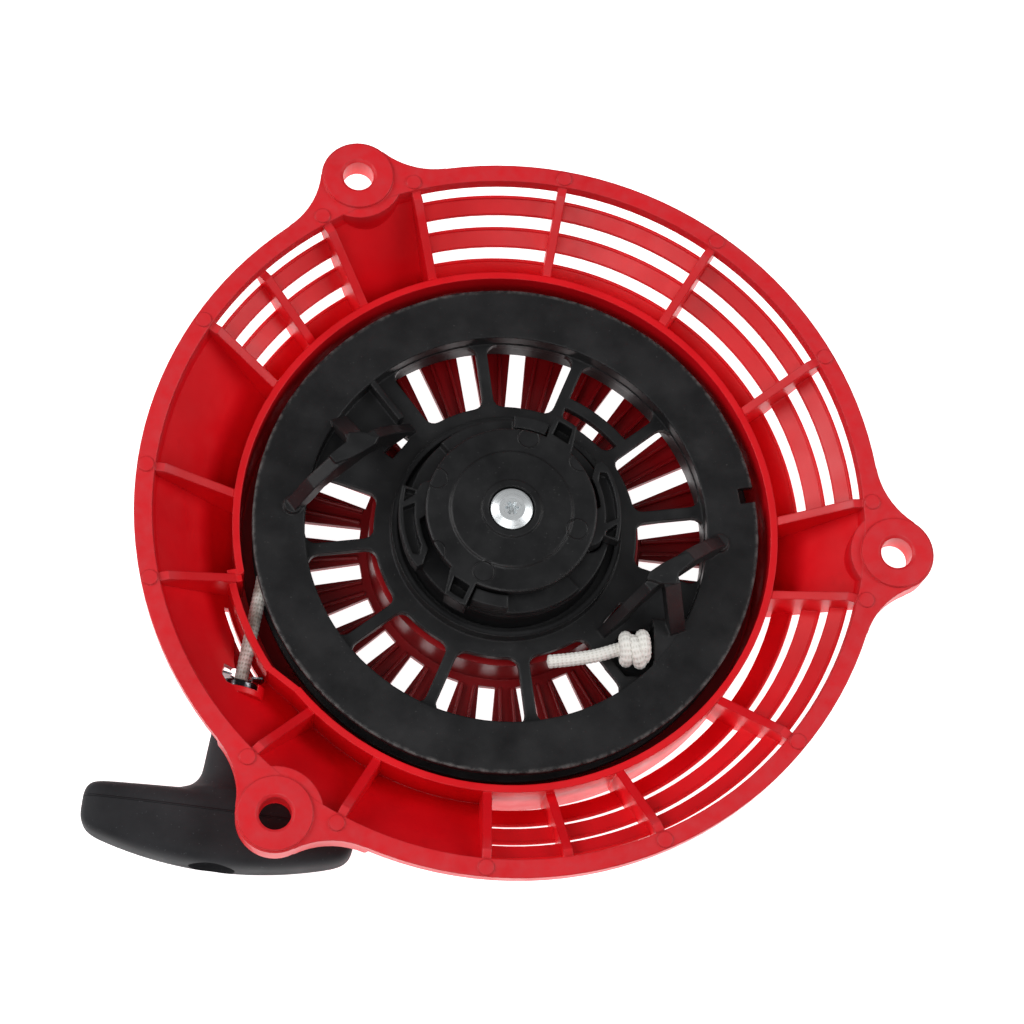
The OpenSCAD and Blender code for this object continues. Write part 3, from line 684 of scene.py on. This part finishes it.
def braid_height(along, turn):
    """How high the weave stands, 0 to 1, at a distance along the rope and a turn round it."""
    right = np.cos(2 * np.pi * (YARNS * turn / 2 + along / BRAID_PITCH * 2))
    left = np.cos(2 * np.pi * (YARNS * turn / 2 - along / BRAID_PITCH * 2))
    return 0.5 + 0.5 * np.sign(right * left) * np.sqrt(np.abs(right * left))


def carried_frames(line):
    """At each point the way ahead and two ways across it, which never twist round the line."""
    ahead = np.gradient(line, axis=0)
    ahead /= np.linalg.norm(ahead, axis=1)[:, None]
    side = np.cross(ahead[0], UP)
    side /= np.linalg.norm(side)
    frames = []
    for way in ahead:
        side = side - way * side.dot(way)
        side /= np.linalg.norm(side)
        frames.append((way, side, np.cross(way, side)))
    return frames


print("rope", 2 * ROPE_R / MM, "mm thick with", YARNS, "yarns")

# %% [markdown]
# ## Skin of the rope
# The skin is a row of rings joined by four-sided faces, with a low point at each end that closes
# it. The last face of every ring crosses from the end of V back to its start, so its far corners
# get a V of 1 and the pattern has no smeared seam.

# %% Rope tube


def tube_faces(rings, sides):
    """Faces between rings of points, and fans to the two tips that come after all the rings."""
    faces = []
    for i in range(rings - 1):
        for k in range(sides):
            n = (k + 1) % sides
            faces.append((i * sides + k, i * sides + n, (i + 1) * sides + n, (i + 1) * sides + k))
    first_tip, last_tip, last_ring = rings * sides, rings * sides + 1, (rings - 1) * sides
    for k in range(sides):
        n = (k + 1) % sides
        faces += [(first_tip, n, k), (last_tip, last_ring + k, last_ring + n)]
    return faces


def lay_rope_uv(bm, gone, sides):
    """Writes the UV map: U is the distance along the rope in millimetres, V the turn round it."""
    layer = bm.loops.layers.uv.new("along_rope")
    first_tip, last_ring = len(gone) * sides, (len(gone) - 1) * sides
    for face in bm.faces:
        ks = [loop.vert.index % sides for loop in face.loops if loop.vert.index < first_tip]
        wraps = ks and max(ks) - min(ks) > sides / 2
        for loop in face.loops:
            i = loop.vert.index
            if i >= first_tip:
                i = 0 if i == first_tip else last_ring
            k = i % sides
            v = (k + sides if wraps and k == 0 else k) / sides
            loop[layer].uv = (gone[i // sides] / MM, v)


def rope_tube(name, path, material, sides=36, step=0.26 * MM):
    """A closed braided tube along a path in metres."""
    line = smooth_path(path, step)
    frames = carried_frames(line)
    gone = distances(line)
    turns = np.arange(sides) / sides
    across, rise = np.cos(2 * np.pi * turns)[:, None], np.sin(2 * np.pi * turns)[:, None]
    verts, weave = [], []
    for point, distance, (_, side, up) in zip(line, gone, frames):
        heights = braid_height(distance, turns)
        r = ROPE_R - BRAID_DEPTH * (1 - heights)
        verts.extend(point + r[:, None] * (across * side + rise * up))
        weave.extend(heights)
    tip = 0.25 * ROPE_R
    verts += [line[0] - frames[0][0] * tip, line[-1] + frames[-1][0] * tip]
    weave += [0.5, 0.5]
    mesh = bpy.data.meshes.new(name)
    mesh.from_pydata([tuple(v) for v in verts], [], tube_faces(len(line), sides))
    bm = bmesh.new()
    bm.from_mesh(mesh)
    face_outwards(bm)
    lay_rope_uv(bm, gone, sides)
    bm.to_mesh(mesh)
    bm.free()
    mesh.attributes.new("weave", "FLOAT", "POINT").data.foreach_set("value", weave)
    mesh.materials.append(material)
    print(name, "length", round(gone[-1] / MM, 1), "mm,", len(mesh.polygons), "faces")
    return add_piece(name, mesh)


# %% [markdown]
# ## Rope run from the reel to the grip
# The rope leaves the winding on a tangent, crosses the gap under the reel's rim and goes through
# the steel eyelet into the grip. The grip slides away from the case, and the rope between them is
# one piece.

# %% Rope run
run_path = [EYELET + s * case_way for s in (-52, -40, -28, -16, -8, -3)]
run_path += [EYELET + s * grip_way for s in (2, 8, 16, 24, 33)]
rope_run = rope_tube("rope_to_grip", [p * MM for p in run_path], dirty_rope)
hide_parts("rope_run", "grip_rope")
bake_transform(rope_run)

# %% [markdown]
# ## Steel liner at the eyelet
# Just inside the eyelet a bent steel strip lines the notch in the case, so that the rope runs on
# metal and not on plastic. It is a strip swept round the lower part of a circle.

# %% Eyelet liner
LINER_R = 4.15
LINER_BACK = 3.3
LINER_FROM, LINER_SWEEP = -205, 230
LINER_STEPS = 36

liner_line = []
for k in range(LINER_STEPS + 1):
    turn = LINER_FROM + LINER_SWEEP * k / LINER_STEPS
    liner_line.append(beside_line(EYELET, case_way, -LINER_BACK, LINER_R, turn))
eyelet_liner = swept_piece("eyelet_liner", [liner_line], 0.5, 3.0, 0.2, dark_steel)
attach(eyelet_liner, "case")

# %% [markdown]
# ## Rope wound on the reel
# Four turns lie in the groove: two side by side on the core and two on top of them. Each turn is
# a ring whose height and radius change over a short crossing, as on a real winding.

# %% Winding
WIND_INNER, WIND_OUTER = 53.9, 56.6
WIND_LOW, WIND_HIGH = -22.4, -18.5
WIND_START = math.radians(170)
POINTS_PER_TURN = 48
CROSSING = 0.15


def winding_path():
    """Points down the four turns, in millimetres."""
    layers = [(r, z) for r in (WIND_INNER, WIND_OUTER) for z in (WIND_LOW, WIND_HIGH)]
    points = []
    for turn, (r, z) in enumerate(layers):
        next_r, next_z = layers[min(turn + 1, len(layers) - 1)]
        for k in range(POINTS_PER_TURN):
            share = max(0.0, (k / POINTS_PER_TURN - (1 - CROSSING)) / CROSSING)
            share = share * share * (3 - 2 * share)
            a = WIND_START - 2 * math.pi * k / POINTS_PER_TURN
            at_r = r + (next_r - r) * share
            points.append((at_r * math.cos(a), at_r * math.sin(a), z + (next_z - z) * share))
    return points


winding = rope_tube("rope_turns", np.array(winding_path()) * MM, dirty_rope, sides=24, step=0.5 * MM)
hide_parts("rope_winding")
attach(winding, "reel")

# %% [markdown]
# ## Knot and tail
# The inner end of the rope comes up through the reel and is stopped by a double overhand knot.
# The knot is two wraps side by side with one turn that crosses between them, and its tail lies
# over the spokes. Each point of the knot is a distance along the tail, a distance out from it and
# an angle round it, in millimetres and degrees.

# %% Knot
KNOT = np.array((31.2, -30.7, -16.2))
TAIL_RUN = np.array((-20.8, -3.2, 0.0))
tail_way = TAIL_RUN / np.linalg.norm(TAIL_RUN)

KNOT_TURNS = (
    (-3.4, 1.2, 270), (-3.0, 2.6, 240), (-2.8, 2.8, 190), (-2.6, 2.8, 130), (-2.4, 2.8, 70),
    (-2.2, 2.8, 10), (-1.8, 2.7, -50), (-0.8, 2.6, -100), (0.6, 2.6, -150), (1.6, 2.8, -200),
    (2.0, 2.9, -260), (2.1, 2.9, -320), (2.1, 2.8, -370), (1.8, 2.6, -425), (1.0, 2.2, -480),
    (0.3, 1.9, -550), (0.0, 2.6, -620), (-0.4, 3.3, -670), (-1.0, 3.8, -710), (-1.3, 3.5, -750),
    (-0.6, 2.2, -800), (0.8, 0.8, -860), (2.4, 0.2, -900), (4.6, 0.1, -900))
knot_path = [beside_line(KNOT, tail_way, *turn) for turn in KNOT_TURNS]
knot = rope_tube("rope_stop_knot", [p * MM for p in knot_path], clean_rope)
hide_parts("rope_knot")
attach(knot, "reel")

# %% Tail
TAIL_POINTS = ((22.0, -32.6, -17.0), (16.0, -33.6, -17.35), (10.4, -34.3, -17.4))

tail_path = [beside_line(KNOT, tail_way, 4.2, 0.1, 180), *(np.array(p) for p in TAIL_POINTS)]
tail = rope_tube("rope_tail_end", [p * MM for p in tail_path], clean_rope)
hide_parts("rope_tail")
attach(tail, "reel")

# %% [markdown]
# ## Blanks for the grip
# The grip is a T: a bowed bar for the fingers on a tapered neck. Both start as lofts, which are
# skins through rings of points. The bar's rings are rounded rectangles that shrink at its ends,
# and the neck's rings flare into the bar as a fillet does.

# %% Grip blanks
BAR_HALF = 32.6
BAR_NEAR = 26.0
BAR_FAR = 44.4
BAR_BOW = 5.6
BAR_HALF_THICK = 8.2
NECK_START, NECK_END = 3.8, 31.8
NECK_R = 4.5
NECK_FILLET = 5.0


def loft(name, rings):
    """A closed skin through rings of points that all have the same count, in millimetres."""
    bm = bmesh.new()
    rows = [[bm.verts.new(tuple(np.array(p) * MM)) for p in ring] for ring in rings]
    for a, b in zip(rows, rows[1:]):
        for k in range(len(a)):
            n = (k + 1) % len(a)
            bm.faces.new((a[k], a[n], b[n], b[k]))
    bm.faces.new(rows[0][::-1])
    bm.faces.new(rows[-1])
    bmesh.ops.recalc_face_normals(bm, faces=bm.faces)
    mesh = bpy.data.meshes.new(name)
    bm.to_mesh(mesh)
    bm.free()
    return add_piece(name, mesh)


def bar_rings(count=64, sides=48):
    rings = []
    for i in range(count + 1):
        t = -math.cos(math.pi * i / count)
        end = (1 - abs(t * 0.9999) ** 26.0) ** 0.5
        near = BAR_NEAR + 1.4 * abs(t)
        far = BAR_FAR - BAR_BOW * t * t
        half_s = (far - near) / 2 * (0.30 + 0.70 * end)
        half_z = (BAR_HALF_THICK - 1.9 * t * t) * (0.35 + 0.65 * end)
        middle = EYELET + (near + far) / 2 * grip_way + BAR_HALF * t * grip_side
        ring = []
        for k in range(sides):
            a = 2 * math.pi * k / sides
            c, s = math.cos(a), math.sin(a)
            c = math.copysign(abs(c) ** 0.4, c)
            s = math.copysign(abs(s) ** 0.5, s)
            ring.append(middle + half_s * c * grip_way + half_z * s * UP)
        rings.append(ring)
    return rings


def neck_rings(count=60, sides=32):
    rings = []
    for i in range(count + 1):
        t = i / count
        s = NECK_START + (NECK_END - NECK_START) * t
        into = min(NECK_FILLET, max(0.0, s - BAR_NEAR + NECK_FILLET))
        flare = NECK_FILLET - math.sqrt(NECK_FILLET ** 2 - into ** 2)
        wide = NECK_R + 1.9 * t + flare
        tall = NECK_R + 1.7 * t + 0.35 * flare
        ring = []
        for k in range(sides):
            a = 2 * math.pi * k / sides
            ring.append(EYELET + s * grip_way + wide * math.cos(a) * grip_side + tall * math.sin(a) * UP)
        rings.append(ring)
    return rings


grip = loft("pull_grip", bar_rings())
neck = loft("neck_blank", neck_rings())
print("bar blank", len(grip.data.polygons), "faces, neck blank", len(neck.data.polygons), "faces")

# %% [markdown]
# ## Grip
# A voxel remesh melts the two blanks into one skin, and a smoothing pass leaves the soft fillets
# that the mould gives it. The bore for the rope and the pocket for its knot are cut last, so that
# their edges stay crisp.

# %% Grip
BORE_R = 2.15
POCKET_R = 5.6
POCKET_AT = 31.0
PAST_GRIP = 60.0
CUTTER_SIDES = 48


def add_modifier(piece, kind, **settings):
    made = piece.modifiers.new(kind.lower(), kind)
    for key, value in settings.items():
        setattr(made, key, value)


def cylinder_cutter(start, end, radius):
    """A closed cylinder between two distances on the grip's line."""
    return loft("cutter", [[beside_line(EYELET, grip_way, s, radius, 360 * k / CUTTER_SIDES)
                            for k in range(CUTTER_SIDES)] for s in (start, end)])


add_modifier(grip, "BOOLEAN", object=neck, operation="UNION", solver="EXACT")
add_modifier(grip, "REMESH", mode="VOXEL", voxel_size=0.45 * MM)
add_modifier(grip, "SMOOTH", factor=0.6, iterations=14)
bake_modifiers(grip)
bpy.data.objects.remove(neck)
for start, radius in ((0.0, BORE_R), (POCKET_AT, POCKET_R)):
    cutter = cylinder_cutter(start, PAST_GRIP, radius)
    add_modifier(grip, "BOOLEAN", object=cutter, operation="DIFFERENCE", solver="EXACT")
    bake_modifiers(grip)
    bpy.data.objects.remove(cutter)
grip.data.materials.clear()
grip.data.materials.append(grip_black)
for face in grip.data.polygons:
    face.use_smooth = True
grip.data.set_sharp_from_angle(angle=math.radians(40))
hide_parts("grip")
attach(grip, "grip")
print("grip has", len(grip.data.polygons), "faces")

# %% [markdown]
# ## Knot in the grip
# The outer end of the rope is stopped by a plain overhand knot on a steel washer, deep in the
# pocket of the grip.

# %% Grip knot
GRIP_KNOT = EYELET + 37.2 * grip_way
GRIP_KNOT_TURNS = (
    (-4.8, 0.0, 0), (-3.0, 0.8, 0), (-1.8, 2.4, 40), (-1.0, 2.7, 130), (0.2, 2.7, 220),
    (1.4, 2.7, 310), (1.2, 2.5, 40), (0.0, 0.8, 150), (2.6, 0.4, 200), (4.6, 0.2, 200))

grip_knot_path = [beside_line(GRIP_KNOT, grip_way, *turn) for turn in GRIP_KNOT_TURNS]
grip_knot = rope_tube("rope_grip_knot", [p * MM for p in grip_knot_path], clean_rope)
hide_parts("grip_knot")
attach(grip_knot, "grip")
